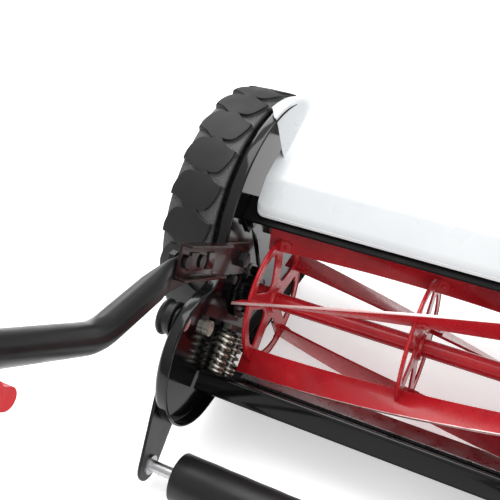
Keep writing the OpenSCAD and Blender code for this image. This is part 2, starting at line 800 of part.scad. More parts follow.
module lower_tube(side) {
    flat_x = -bracket_x - 0.3 - flat_t;
    flat_l = norm([kink_y - flat_start_y, kink_z - flat_start_z]);
    flat_slope = atan2(kink_z - flat_start_z, flat_start_y - kink_y);
    inset = 0.2;
    round_start = 20;
    color([0.1, 0.1, 0.1]) place() on_side(side) difference() {
        union() {
            difference() {
                lower_run_bar(tube_r, round_start, lower_run);
                lower_run_bar(tube_r - tube_wall, round_start + 10, lower_run + 1);
            }
            // end of the tube squeezed flat against the bracket
            on_slope(flat_start_y, flat_start_z, flat_slope) translate([tube_x + flat_x, 0, -flat_h / 2])
                cube([flat_t, flat_l, flat_h]);
            hull() {
                on_slope(flat_start_y, flat_start_z, flat_slope)
                    translate([tube_x + flat_x + inset, flat_l - 4, inset - flat_h / 2])
                        cube([flat_t - 2 * inset, 3, flat_h - 2 * inset]);
                on_slope(kink_y, kink_z, tube_slope) rotate([-90, 0, 0])
                    translate([0, 0, round_start - 2]) cylinder(h = 8, r = tube_r - 0.6, $fn = 32);
            }
        }
        on_bracket() for (s = bracket_bolts) rod(-200, -100, s, 0, 3.1);
        rod(-tube_x - 30, -tube_x + 30, joint_y, joint_z, 4.1);
    }
}

module handle_bolts() {
    back_x = bracket_x + 0.3 + flat_t;
    color([0.12, 0.12, 0.13]) place() both_sides() on_bracket() for (s = bracket_bolts) {
        rod(-back_x - 6, -bracket_x + 3, s, 0, 3);
        hex_rod(-back_x - 5, -back_x, s, 0, 5.8);
        rod(-bracket_x + 2, -bracket_x + 5, s, 0, 5.2);
    }
}

// Local frame of the handle's plane: origin at the joint's middle, v runs up the slope
module on_handle() translate([0, joint_y, joint_z]) rotate([-handle_slope, 0, 0]) mirror([0, 1, 0]) children();

module upper_path(r) {
    leg = upper_len - corner_r;
    rotate([-90, 0, 0]) translate([-upper_x, 0, -overlap_back]) cylinder(h = leg + overlap_back, r = r);
    translate([-upper_x + corner_r, leg, 0]) rotate([0, 0, 90]) rotate_extrude(angle = 90)
        translate([corner_r, 0]) circle(r, $fn = 48);
    translate([-upper_x + corner_r, upper_len, 0]) rotate([0, 90, 0]) cylinder(h = upper_x - corner_r, r = r);
}

module upper_handle() {
    color([0.1, 0.1, 0.1]) place() on_handle() difference() {
        both_sides() upper_path(tube_r);
        both_sides() upper_path(tube_r - tube_wall);
        rod(-200, 200, 0, 0, 4.1);
    }
}

module grip_shape(r) {
    both_sides() translate([-upper_x + corner_r, 0, 0]) {
        translate([0, upper_len - corner_r, 0]) rotate([0, 0, 90]) rotate_extrude(angle = 70)
            translate([corner_r, 0]) circle(r, $fn = 48);
        translate([0, upper_len, 0]) rotate([0, 90, 0]) cylinder(h = upper_x - corner_r, r = r);
    }
}

module foam_grip() {
    color([0.08, 0.08, 0.09]) place() on_handle() difference() {
        grip_shape(grip_r);
        both_sides() upper_path(tube_r);
    }
}

module clamp_bolts() {
    head_x = tube_x + tube_r;
    color([0.6, 0.6, 0.62]) place() both_sides() {
        rod(-head_x - 4, -head_x - 0.3, joint_y, joint_z, 8);
        rod(-head_x - 1, -upper_x + tube_r + 14, joint_y, joint_z, 4);
    }
}

// Wing knob that clamps the two tubes together
module clamp_knob(side) {
    knob_x = upper_x - tube_r - 0.4;
    color([0.8, 0.08, 0.1]) place() on_side(side) translate([0, joint_y, joint_z]) difference() {
        union() {
            rod(-knob_x, -knob_x + 22, 0, 0, 11);
            across(-knob_x + 8, -knob_x + 20) hull() for (d = [-1, 1])
                rotate(-40) translate([d * 17, 0]) circle(6, $fn = 32);
        }
        rod(-knob_x - 1, -knob_x + 15, 0, 0, 4 + run_gap);
    }
}

// ---------- assembly ----------

side_plate(-1);  // side_plate_left
side_plate(1);  // side_plate_right
hood();
tie_bar();
frame_screws();
bearing_housings();
reel_bearings();
axle(-1);  // axle_left
axle(1);  // axle_right
axle_nuts();
wheel_nuts();
adjuster_bracket(-1);  // adjuster_bracket_left
adjuster_bracket(1);  // adjuster_bracket_right
adjuster_screws();
knife_springs(bolt_front);  // knife_springs_front
knife_springs(bolt_rear);  // knife_springs_rear
handle_pivot_bolts();
handle_stop_pins();
arm_pivot_bolts();
tyre(-1);  // tyre_left
tyre(1);  // tyre_right
wheel(-1);  // wheel_left
wheel(1);  // wheel_right
wheel_bush(-1);  // wheel_bush_left
wheel_bush(1);  // wheel_bush_right
hub_cap(-1);  // hub_cap_left
hub_cap(1);  // hub_cap_right
pinion(-1);  // pinion_left
pinion(1);  // pinion_right
reel_shaft();
reel_spider(-spider_gap);  // reel_spider_left
reel_spider(0);  // reel_spider_centre
reel_spider(spider_gap);  // reel_spider_right
reel_blade(0);  // reel_blade_1
reel_blade(1);  // reel_blade_2
reel_blade(2);  // reel_blade_3
reel_blade(3);  // reel_blade_4
reel_blade(4);  // reel_blade_5
pinion_clips();
ratchet_pawls();
knife_carrier();
bed_knife();
knife_screws();
height_arm(-1);  // height_arm_left
height_arm(1);  // height_arm_right
roller_shaft();
height_studs();
rear_roller();
height_knob(-1);  // height_knob_left
height_knob(1);  // height_knob_right
handle_bracket(-1);  // handle_bracket_left
handle_bracket(1);  // handle_bracket_right
lower_tube(-1);  // lower_tube_left
lower_tube(1);  // lower_tube_right
handle_bolts();
upper_handle();
foam_grip();
clamp_bolts();
clamp_knob(-1);  // clamp_knob_left
clamp_knob(1);  // clamp_knob_right
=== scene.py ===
import json
import math

import bmesh
import bpy
from mathutils import Matrix, Vector


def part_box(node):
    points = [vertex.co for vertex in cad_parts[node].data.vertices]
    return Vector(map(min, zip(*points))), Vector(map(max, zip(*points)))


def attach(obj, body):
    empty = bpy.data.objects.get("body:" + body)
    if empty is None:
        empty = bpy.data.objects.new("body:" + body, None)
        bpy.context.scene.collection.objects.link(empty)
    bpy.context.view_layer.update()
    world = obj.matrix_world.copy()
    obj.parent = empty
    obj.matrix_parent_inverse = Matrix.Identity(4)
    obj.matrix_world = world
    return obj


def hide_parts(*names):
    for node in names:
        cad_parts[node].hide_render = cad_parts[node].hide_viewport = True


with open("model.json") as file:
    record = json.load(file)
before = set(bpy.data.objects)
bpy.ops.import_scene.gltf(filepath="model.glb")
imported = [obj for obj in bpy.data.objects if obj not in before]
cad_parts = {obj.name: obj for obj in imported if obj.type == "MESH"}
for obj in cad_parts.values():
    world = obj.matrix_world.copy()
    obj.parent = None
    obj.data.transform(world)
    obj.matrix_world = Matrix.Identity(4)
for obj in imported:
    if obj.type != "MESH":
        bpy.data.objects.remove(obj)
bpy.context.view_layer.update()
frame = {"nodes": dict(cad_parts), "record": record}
NODES = frame["nodes"]
BODY = {n: b for b, ns in frame["record"]["behaviour"]["bodies"].items() for n in ns}
MM = 0.001


# ---------- places ----------
# Side pieces are made for the left side in millimetres from the wheel axle:
# x from the middle plane, y forward, z up. A() gives the row frame in metres.

tyre_low, tyre_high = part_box("tyre_left")
AXLE = Vector((0, (tyre_low.y + tyre_high.y) / 2, (tyre_low.z + tyre_high.z) / 2))
TYRE_R = (tyre_high.z - tyre_low.z) / 2 / MM
TYRE_OUT = -tyre_low.x / MM
TYRE_IN = -tyre_high.x / MM


def centre_mm(node):
    low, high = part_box(node)
    return ((low + high) / 2 - AXLE) / MM


REEL = centre_mm("reel_shaft")
JOINT = centre_mm("clamp_knob_left")


def A(x, y, z):
    return Vector((x * MM, y * MM, z * MM)) + AXLE


def smoothstep(t):
    t = min(1.0, max(0.0, t))
    return t * t * (3 - 2 * t)


# ---------- materials ----------

def new_material(name):
    mat = bpy.data.materials.new(name)
    mat.use_nodes = True
    tree = mat.node_tree
    return mat, tree, tree.nodes["Principled BSDF"]


def noise(tree, scale, detail=3.0, vector=None, roughness=0.55):
    n = tree.nodes.new("ShaderNodeTexNoise")
    n.inputs["Scale"].default_value = scale
    n.inputs["Detail"].default_value = detail
    n.inputs["Roughness"].default_value = roughness
    if vector is None:
        vector = tree.nodes.new("ShaderNodeTexCoord").outputs["Object"]
    tree.links.new(vector, n.inputs["Vector"])
    return n


def ranged(tree, value, low, high, out_low, out_high):
    n = tree.nodes.new("ShaderNodeMapRange")
    n.inputs["From Min"].default_value = low
    n.inputs["From Max"].default_value = high
    n.inputs["To Min"].default_value = out_low
    n.inputs["To Max"].default_value = out_high
    tree.links.new(value, n.inputs["Value"])
    return n.outputs["Result"]


def mixed(tree, factor, a, b):
    n = tree.nodes.new("ShaderNodeMix")
    n.data_type = "RGBA"
    tree.links.new(factor, n.inputs["Factor"])
    for socket, value in ((n.inputs[6], a), (n.inputs[7], b)):
        if isinstance(value, (tuple, list)):
            socket.default_value = (*value, 1)
        else:
            tree.links.new(value, socket)
    return n.outputs[2]


def math_node(tree, operation, a, b=None):
    n = tree.nodes.new("ShaderNodeMath")
    n.operation = operation
    for socket, value in zip(n.inputs, (a, b)):
        if value is None:
            continue
        if isinstance(value, (int, float)):
            socket.default_value = value
        else:
            tree.links.new(value, socket)
    return n.outputs[0]


def bumped(tree, shader, height, strength, distance):
    n = tree.nodes.new("ShaderNodeBump")
    n.inputs["Strength"].default_value = strength
    n.inputs["Distance"].default_value = distance
    tree.links.new(height, n.inputs["Height"])
    tree.links.new(n.outputs["Normal"], shader.inputs["Normal"])


def surface(name, color, rough, metallic=0.0, coat=0.0, vary=0.12, scale=14.0,
            grain=900.0, grain_depth=0.00004, rough_vary=0.08, specular=0.5):
    """A finish with uneven colour, uneven gloss and fine grain."""
    mat, tree, bsdf = new_material(name)
    bsdf.inputs["Metallic"].default_value = metallic
    bsdf.inputs["Specular IOR Level"].default_value = specular
    bsdf.inputs["Coat Weight"].default_value = coat
    bsdf.inputs["Coat Roughness"].default_value = 0.04
    broad = noise(tree, scale, 4)
    dark = tuple(c * (1 - vary) for c in color)
    light = tuple(min(1, c * (1 + vary)) for c in color)
    tone = mixed(tree, ranged(tree, broad.outputs["Fac"], 0.3, 0.7, 0, 1), dark, light)
    tree.links.new(tone, bsdf.inputs["Base Color"])
    smear = noise(tree, scale * 2.3, 5)
    tree.links.new(ranged(tree, smear.outputs["Fac"], 0.3, 0.7, max(0.02, rough - rough_vary),
                          rough + rough_vary), bsdf.inputs["Roughness"])
    bumped(tree, bsdf, noise(tree, grain, 2).outputs["Fac"], 0.5, grain_depth)
    return mat


def radius_from(tree, y, z):
    """Distance from a line along X, as a socket."""
    coord = tree.nodes.new("ShaderNodeTexCoord").outputs["Object"]
    away = tree.nodes.new("ShaderNodeVectorMath")
    away.operation = "SUBTRACT"
    away.inputs[1].default_value = (0, y, z)
    tree.links.new(coord, away.inputs[0])
    flat = tree.nodes.new("ShaderNodeVectorMath")
    flat.operation = "MULTIPLY"
    flat.inputs[1].default_value = (0, 1, 1)
    tree.links.new(away.outputs[0], flat.inputs[0])
    length = tree.nodes.new("ShaderNodeVectorMath")
    length.operation = "LENGTH"
    tree.links.new(flat.outputs[0], length.inputs[0])
    return length.outputs["Value"]


def reel_paint(name, worn_from):
    """Gloss red enamel that is rubbed to pinkish bare steel beyond worn_from."""
    mat, tree, bsdf = new_material(name)
    bsdf.inputs["Coat Weight"].default_value = 0.15
    bsdf.inputs["Coat Roughness"].default_value = 0.06
    bsdf.inputs["Specular IOR Level"].default_value = 0.3
    tone = mixed(tree, ranged(tree, noise(tree, 18, 4).outputs["Fac"], 0.3, 0.7, 0, 1),
                 (0.36, 0.008, 0.014), (0.56, 0.014, 0.022))
    reach = math_node(tree, "ADD", radius_from(tree, AXLE.y + REEL.y * MM, AXLE.z + REEL.z * MM),
                      ranged(tree, noise(tree, 90, 5).outputs["Fac"], 0.3, 0.7, -0.0003, 0.0003))
    worn = ranged(tree, reach, worn_from, worn_from + 0.0004, 0, 1)
    tone = mixed(tree, worn, tone, (0.72, 0.46, 0.45))
    tree.links.new(tone, bsdf.inputs["Base Color"])
    tree.links.new(math_node(tree, "MULTIPLY", worn, 0.75), bsdf.inputs["Metallic"])
    tree.links.new(ranged(tree, noise(tree, 40, 4).outputs["Fac"], 0.3, 0.7, 0.2, 0.36),
                   bsdf.inputs["Roughness"])
    bumped(tree, bsdf, noise(tree, 500, 2).outputs["Fac"], 0.4, 0.00005)
    return mat


MAT = {
    "hood_paint": surface("hood_paint", (0.82, 0.84, 0.86), 0.3, coat=0.3, vary=0.02, grain_depth=0.00002),
    "black_gloss": surface("black_gloss", (0.004, 0.004, 0.0045), 0.12, specular=0.3, coat=0.12, vary=0.3,
                           grain=300, grain_depth=0.00003, rough_vary=0.05),
    "black_satin": surface("black_satin", (0.006, 0.006, 0.0065), 0.34, specular=0.3, coat=0.05, vary=0.25),
    # near-black with a red tint; the red tint is a painted reflection of the red reel on the handle brackets
    "bracket_paint": surface("bracket_paint", (0.012, 0.0045, 0.004), 0.2, specular=0.25, coat=0.12,
                             vary=0.35, grain=300, grain_depth=0.00003),
    "reel_red": reel_paint("reel_red", 0.0729),
    "zinc": surface("zinc", (0.74, 0.72, 0.63), 0.3, metallic=0.9, vary=0.18, scale=40, rough_vary=0.1),
    "steel": surface("steel", (0.5, 0.5, 0.51), 0.34, metallic=1.0, vary=0.15, scale=40, rough_vary=0.12),
    "bronze": surface("bronze", (0.6, 0.42, 0.2), 0.4, metallic=1.0, vary=0.15, scale=40),
    "tyre_rubber": surface("tyre_rubber", (0.022, 0.0222, 0.024), 0.55, vary=0.12, grain=700,
                           grain_depth=0.00008),
    "wheel_plastic": surface("wheel_plastic", (0.022, 0.022, 0.024), 0.5, vary=0.15, grain=1200,
                             grain_depth=0.00005),
    "knob_plastic": surface("knob_plastic", (0.009, 0.009, 0.0095), 0.38, specular=0.3, vary=0.2),
    "red_plastic": surface("red_plastic", (0.5, 0.01, 0.016), 0.32, vary=0.12),
    "foam": surface("foam", (0.02, 0.02, 0.021), 0.9, vary=0.2, grain=500, grain_depth=0.0003),
}


def tyre_finish():
    """Dark moulded rubber whose scallop floors are paler and speckled."""
    mat, tree, bsdf = new_material("tyre_tread")
    bsdf.inputs["Specular IOR Level"].default_value = 0.3
    radius = radius_from(tree, AXLE.y, AXLE.z)
    tone = mixed(tree, ranged(tree, noise(tree, 20, 4).outputs["Fac"], 0.3, 0.7, 0, 1),
                 (0.010, 0.0101, 0.011), (0.0145, 0.0147, 0.0155))
    speck = mixed(tree, ranged(tree, noise(tree, 900, 3).outputs["Fac"], 0.42, 0.62, 0, 1),
                  (0.055, 0.055, 0.056), (0.11, 0.11, 0.11))
    tone = mixed(tree, ranged(tree, radius, 0.1240, 0.1249, 1, 0), tone, speck)
    wall = ranged(tree, radius, 0.1168, 0.1190, 1, 0)
    tone = mixed(tree, wall, tone, (0.012, 0.012, 0.013))
    tree.links.new(tone, bsdf.inputs["Base Color"])
    tree.links.new(ranged(tree, noise(tree, 45, 5).outputs["Fac"], 0.3, 0.7, 0.44, 0.62),
                   bsdf.inputs["Roughness"])
    bumped(tree, bsdf, noise(tree, 700, 3).outputs["Fac"], 0.6, 0.00012)
    return mat


TREAD = tyre_finish()
DARK_ZINC = surface("dark_zinc", (0.16, 0.155, 0.14), 0.35, metallic=0.9, vary=0.3, scale=60, rough_vary=0.1)
DULL_BLACK = surface("dull_black", (0.003, 0.003, 0.0035), 0.5, specular=0.12, vary=0.3)
SLOT = {s["node"]: s["material_slot"] for s in frame["record"]["subparts"]}


# ---------- mesh helpers ----------

def finish_mesh(obj, sharp_deg):
    mesh = obj.data
    work = bmesh.new()
    work.from_mesh(mesh)
    bmesh.ops.recalc_face_normals(work, faces=work.faces)
    work.to_mesh(mesh)
    work.free()
    mesh.polygons.foreach_set("use_smooth", [True] * len(mesh.polygons))
    mesh.set_sharp_from_angle(angle=math.radians(sharp_deg))


def add(name, verts, faces, slot_name, body, replaced=(), sharp_deg=35, material=None):
    mesh = bpy.data.meshes.new(name)
    mesh.from_pydata([tuple(v) for v in verts], [], faces)
    mesh.materials.append(material or MAT[slot_name])
    obj = bpy.data.objects.new(name, mesh)
    bpy.context.scene.collection.objects.link(obj)
    finish_mesh(obj, sharp_deg)
    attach(obj, body)
    if replaced:
        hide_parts(*replaced)
    return obj


def bevel(obj, width_mm, segments=2, angle_deg=40):
    mod = obj.modifiers.new("edges", "BEVEL")
    mod.width = width_mm * MM
    mod.segments = segments
    mod.limit_method = "ANGLE"
    mod.angle_limit = math.radians(angle_deg)
    mod.harden_normals = False
    return obj


def softened(node, width_mm, segments=2, angle_deg=40):
    """A copy of a CAD node with its edges rounded, shown in the node's place."""
    mesh = NODES[node].data.copy()
    mesh.materials.clear()
    mesh.materials.append(MAT[SLOT[node]])
    obj = bpy.data.objects.new(node + "_made", mesh)
    bpy.context.scene.collection.objects.link(obj)
    work = bmesh.new()
    work.from_mesh(mesh)
    bmesh.ops.remove_doubles(work, verts=work.verts, dist=1e-6)
    bmesh.ops.dissolve_limit(work, angle_limit=math.radians(0.5), verts=work.verts, edges=work.edges)
    work.to_mesh(mesh)
    work.free()
    finish_mesh(obj, 35)
    bevel(obj, width_mm, segments, angle_deg)
    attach(obj, BODY[node])
    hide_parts(node)
    return obj


def grid_faces(rows, columns, wrap_rows=False, wrap_columns=False, start=0):
    faces = []
    for i in range(rows if wrap_rows else rows - 1):
        for j in range(columns if wrap_columns else columns - 1):
            a, b = i, (i + 1) % rows
            c, d = j, (j + 1) % columns
            faces.append((start + a * columns + c, start + a * columns + d,
                          start + b * columns + d, start + b * columns + c))
    return faces


# ---------- CAD nodes that keep their shape ----------

for node, obj in NODES.items():
    obj.data.materials.clear()
    obj.data.materials.append(MAT[SLOT[node]])
    obj.data.polygons.foreach_set("use_smooth", [True] * len(obj.data.polygons))
    obj.data.set_sharp_from_angle(angle=math.radians(35))


# ---------- tyres ----------

LOBES = 24
TIP_REACH = 18.0
TIP_AT = 0.73


def lobe_front(w):
    """Where a scallop's floor starts, as a share of the pitch, w mm in from the tread's edge."""
    near = max(0.0, 1 - w / TIP_REACH)
    return TIP_AT * (1 - near ** 4)


def lobe_back(w):
    return 1 - (1 - TIP_AT) * min(1.0, w / TIP_REACH) ** 2


def tyre(name, side, body, node):
    half = (TYRE_OUT - TYRE_IN) / 2
    middle = (TYRE_OUT + TYRE_IN) / 2
    # each row: distance in from the tyre's side, radius of a lobe, radius of a scallop's floor
    rows = [(6.0, 104.5, 104.5), (2.2, 105.6, 105.6), (0.9, 108.0, 108.0), (0.3, 112.0, 112.0),
            (0.0, 116.0, 116.0), (0.0, 119.2, 119.0), (0.2, 122.8, 120.4), (0.7, 124.9, 121.2),
            (1.5, 126.1, 121.6), (2.8, 126.45, 121.9)]
    rows += [(w, 126.5 + 0.5 * w / half, 122.0 + 0.09 * w)
             for w in (4.5, 6.5, 8.5, 10.5, 12.5, 14.5, 16.2, 17.4)]
    rows += [(TIP_REACH, 126.9, 123.7), (20.5, 126.97, 126.97), (half, TYRE_R, TYRE_R)]
    lip = 0.018
    verts, faces = [], []
    for end in (-1, 1):
        start = len(verts)
        columns = 0
        for w, r_lobe, r_floor in rows:
            a, b = lobe_front(w), lobe_back(w)
            if w >= TIP_REACH:
                a = b = TIP_AT
            # share of the pitch, and how far down towards the floor
            line = [(b - 1 + (a - b + 1) * k / 12, 0.0) for k in range(1, 12)]
            line += [(a - lip, 0.0), (a, 0.12), (a + 0.004, 1.0)]
            line += [(a + (b - a) * k / 8, 1.0) for k in range(1, 8)]
            line += [(b - 0.004, 1.0), (b, 0.12), (b + lip, 0.0)]
            line = sorted(line[:11], key=lambda p: p[0]) + line[11:]
            ring = []
            for lobe in range(LOBES):
                for share, drop in line:
                    # the outboard row of lobes lies half a pitch off the inboard row and leans the other way
                    if end < 0:
                        angle = 2 * math.pi * (lobe + share) / LOBES
                    else:
                        angle = -2 * math.pi * (lobe - (-share + 0.5)) / LOBES
                    r = r_lobe + (r_floor - r_lobe) * drop
                    ring.append((angle, r))
            columns = len(ring)
            x = middle + end * (half - w)
            for angle, r in ring:
                verts.append(A(side * x, r * math.cos(angle), r * math.sin(angle)))
        faces += grid_faces(len(rows), columns, wrap_columns=True, start=start)
    obj = add(name, verts, faces, "tyre_rubber", body, (node,), sharp_deg=32, material=TREAD)
    return obj


tyre("tread_left", -1, "wheel_left", "tyre_left")
tyre("tread_right", 1, "wheel_right", "tyre_right")


# ---------- shape helpers for made pieces ----------

def grow(verts, faces, more_verts, more_faces):
    start = len(verts)
    verts.extend(more_verts)
    faces.extend(tuple(start + i for i in f) for f in more_faces)


def smooth_path(points, corner, steps=8):
    """A polyline in mm whose inner corners are rounded by a curve that starts corner mm away."""
    out = [Vector(points[0])]
    for before, here, after in zip(points, points[1:], points[2:]):
        before, here, after = Vector(before), Vector(here), Vector(after)
        a = here + (before - here).normalized() * corner
        b = here + (after - here).normalized() * corner
        out += [a * (1 - t) ** 2 + here * 2 * t * (1 - t) + b * t ** 2
                for t in (k / steps for k in range(steps + 1))]
    return out + [Vector(points[-1])]


def swept(path, radius, sides=20, close_ends=True):
    """Vertices in mm and faces of a round tube along a path. radius may be a function of the share of it."""
    count = len(path)
    tangents = [(path[min(i + 1, count - 1)] - path[max(i - 1, 0)]).normalized() for i in range(count)]
    normal = tangents[0].orthogonal().normalized()
    verts, faces = [], grid_faces(count, sides, wrap_columns=True)
    for i, (point, tangent) in enumerate(zip(path, tangents)):
        normal = (normal - tangent * normal.dot(tangent)).normalized()
        other = tangent.cross(normal)
        r = radius(i / (count - 1)) if callable(radius) else radius
        for k in range(sides):
            a = 2 * math.pi * k / sides
            verts.append(point + (normal * math.cos(a) + other * math.sin(a)) * r)
    if close_ends:
        faces += [tuple(range(sides)), tuple((count - 1) * sides + k for k in reversed(range(sides)))]
    return verts, faces


def turned(profile, y, z, sides=64, wave=None):
    """A profile of (x, radius) turned about a line along X. wave(angle, radius) may change the radius."""
    verts = []
    for x, r in profile:
        for k in range(sides):
            a = 2 * math.pi * k / sides
            rr = wave(a, r) if wave else r
            verts.append(Vector((x, y + rr * math.cos(a), z + rr * math.sin(a))))
    faces = grid_faces(len(profile), sides, wrap_columns=True)
    return verts, faces


def placed(verts):
    return [A(*v) for v in verts]


def mirrored(verts):
    return [Vector((-v[0], v[1], v[2])) for v in verts]


def circle_points(cy, cz, r, steps=32):
    angles = [2 * math.pi * k / steps for k in range(steps)]
    return [(cy + r * math.cos(a), cz + r * math.sin(a)) for a in angles]


def arc_line(cy, cz, r, a, b, steps):
    angles = [a + (b - a) * k / steps for k in range(steps + 1)]
    return [(cy + r * math.cos(t), cz + r * math.sin(t)) for t in angles]


def sheet(outlines, x0, x1, edge):
    """A flat sheet from x0 to x1 with rounded edges. The first outline is its rim and the rest are holes."""
    data = bpy.data.curves.new("sheet", "CURVE")
    data.dimensions = "2D"
    data.fill_mode = "BOTH"
    data.extrude = (x1 - x0) / 2 - edge
    data.bevel_depth = edge
    data.bevel_resolution = 2
    data.offset = -edge
    for outline in outlines:
        spline = data.splines.new("POLY")
        spline.points.add(len(outline) - 1)
        for point, (y, z) in zip(spline.points, outline):
            point.co = (y, z, 0, 1)
        spline.use_cyclic_u = True
    obj = bpy.data.objects.new("sheet", data)
    bpy.context.scene.collection.objects.link(obj)
    bpy.context.view_layer.update()
    mesh = bpy.data.meshes.new_from_object(obj.evaluated_get(bpy.context.evaluated_depsgraph_get()))
    middle = (x0 + x1) / 2
    verts = [Vector((middle + v.co.z, v.co.x, v.co.y)) for v in mesh.vertices]
    faces = [tuple(p.vertices) for p in mesh.polygons]
    bpy.data.objects.remove(obj)
    bpy.data.curves.remove(data)
    bpy.data.meshes.remove(mesh)
    return verts, faces


def both(name, verts, faces, slot_name, body, node, sharp_deg=35):
    """One piece on each side; body and node are written with {} for left or right."""
    made = []
    for end, vs in (("left", verts), ("right", mirrored(verts))):
        made.append(add(f"{name}_{end}", placed(vs), faces, slot_name, body.format(end),
                        (node.format(end),), sharp_deg))
    return made


# ---------- hood ----------

HOOD_R, HOOD_T, HOOD_X = 125.0, 1.2, 160.0
CREST = math.radians(66)
ARCH_HALF, ARCH_MIDDLE, ARCH_DEPTH, ARCH_LIFT = 55.0, 63.0, 5.6 * 1.2, 1.4
HOOD_CORNER = 9.0


def hood_profile():
    crest = Vector((0, HOOD_R * math.cos(CREST), HOOD_R * math.sin(CREST)))
    lower = smooth_path([(0, -62, 53.5), (0, -61.5, 56.5), (0, -39, 78.5), crest], 5, 6)
    line = lower[:-1]
    for k in range(12):
        line.append(lower[-2].lerp(lower[-1], (k + 1) / 12))
    for k in range(1, 30):
        a = CREST + (math.radians(14) - CREST) * k / 29
        line.append(Vector((0, HOOD_R * math.cos(a), HOOD_R * math.sin(a))))
    return line


def arch(x, along):
    """Height of the two pressed arches at x; along is the distance in mm in front of their rear edge."""
    u = (abs(x) - ARCH_MIDDLE) / ARCH_HALF
    if abs(u) >= 1:
        return 0.0
    depth = ARCH_DEPTH * math.sqrt(1 - u * u)
    front = smoothstep((depth - abs(along - depth)) / 3 + 0.5)
    return ARCH_LIFT * smoothstep(along / 3 + 0.5) * front * math.sqrt(1 - u * u)


def hood():
    line = hood_profile()
    columns = [-HOOD_X + HOOD_X * 2 * k / 160 for k in range(161)]
    normals = []
    for i in range(len(line)):
        step = line[min(i + 1, len(line) - 1)] - line[max(i - 1, 0)]
        normals.append(Vector((0, -step.z, step.y)).normalized())
    crest_at = next(i for i, p in enumerate(line) if p.y > HOOD_R * math.cos(CREST) - 0.01)
    verts = []
    rows = list(range(len(line)))
    for layer in (0, 1):
        for i in (rows if layer == 0 else reversed(rows)):
            for x in columns:
                # the two rear corners are rounded
                corner = max(0.0, HOOD_CORNER - (HOOD_X - abs(x)))
                pull = HOOD_CORNER - math.sqrt(max(0.0, HOOD_CORNER ** 2 - corner * corner)) if i < 12 else 0.0
                along = (line[i] - line[crest_at]).length * (1 if i > crest_at else -1) + 4
                lift = arch(x, along) - layer * HOOD_T
                p = line[i] + normals[i] * lift
                share = max(0.0, 1 - i / 12)
                verts.append(Vector((x, p.y + pull * share * 0.7, p.z + pull * share * 0.7)))
    count = len(columns)
    faces = grid_faces(2 * len(line), count, wrap_rows=True)
    top = len(line)
    for side in (0, count - 1):
        for i in range(top - 1):
            a, b = i * count + side, (i + 1) * count + side
            c, d = (2 * top - 2 - i) * count + side, (2 * top - 1 - i) * count + side
            faces.append((a, b, c, d))
    # shoulders over the plates' rims: each keeps the rim's radius and sinks into the main sheet
    section = [(174.5, -1.2), (174.2, -0.5), (173.2, -0.1), (171.5, 0)]
    section += [(170 - 1.5 * k, 0) for k in range(16)]
    crest, knee = line[crest_at], Vector((0, -39, 78.5))
    steps = 70
    for end in (-1, 1):
        for drop in (0, HOOD_T):
            ring = []
            for k in range(steps + 1):
                for x, lift in section:
                    stop = 91 + 7 * smoothstep((174.5 - x) / 12)
                    a = math.radians(14 + (stop - 14) * k / steps)
                    r = HOOD_R + lift - drop
                    y, z = r * math.cos(a), r * math.sin(a)
                    if y < crest.y:
                        rise = (crest.z - knee.z) / (crest.y - knee.y)
                        sheet_z = crest.z + (y - crest.y) * rise - 0.3 - drop
                        z += (sheet_z - z) * smoothstep((163 - x) / 10)
                    else:
                        z -= 0.3 * smoothstep((163 - x) / 10)
                    ring.append(Vector((end * x, y, z)))
            grow(verts, faces, ring, grid_faces(steps + 1, len(section)))
    add("hood_shell", placed(verts), faces, "hood_paint", "chassis", ("hood",), 50, hood_finish)


def hood_enamel():
    """White enamel with a thin red line along each end of the crest."""
    mat, tree, bsdf = new_material("hood_enamel")
    bsdf.inputs["Coat Weight"].default_value = 0.3
    bsdf.inputs["Coat Roughness"].default_value = 0.05
    coord = tree.nodes.new("ShaderNodeTexCoord").outputs["Object"]
    split = tree.nodes.new("ShaderNodeSeparateXYZ")
    tree.links.new(coord, split.inputs[0])
    across_x = math_node(tree, "ABSOLUTE", split.outputs["X"])
    crest_y = AXLE.y + (HOOD_R * math.cos(CREST) + 6) * MM
    off = math_node(tree, "ABSOLUTE", math_node(tree, "SUBTRACT", split.outputs["Y"], crest_y))
    stripe = math_node(tree, "MULTIPLY",
                       math_node(tree, "MULTIPLY", ranged(tree, off, 0.0003, 0.0007, 1, 0),
                                 ranged(tree, across_x, 0.102, 0.108, 0, 1)),
                       ranged(tree, across_x, 0.146, 0.150, 1, 0))
    tone = mixed(tree, ranged(tree, noise(tree, 12, 4).outputs["Fac"], 0.3, 0.7, 0, 1),
                 (0.60, 0.625, 0.64), (0.65, 0.67, 0.68))
    tone = mixed(tree, math_node(tree, "MULTIPLY", stripe, 0.6), tone, (0.55, 0.06, 0.06))
    tree.links.new(tone, bsdf.inputs["Base Color"])
    tree.links.new(ranged(tree, noise(tree, 30, 5).outputs["Fac"], 0.3, 0.7, 0.24, 0.36),
                   bsdf.inputs["Roughness"])
    bumped(tree, bsdf, noise(tree, 900, 2).outputs["Fac"], 0.4, 0.00002)
    return mat


hood_finish = hood_enamel()
hood()


# ---------- side plates ----------

PLATE_X, PLATE_T, RIM_X = 173.0, 2.0, 160.5
PLATE_R, LOBE_Y, LOBE_Z, LOBE_R, BOTTOM = 123.0, -155.0, -41.0, 63.5, -104.5
NOTCH = (-138.8, -76.8)
ARM_Y, ARM_Z, KNOB_Y, KNOB_Z = -136.0, -27.0, -170.0, 5.0


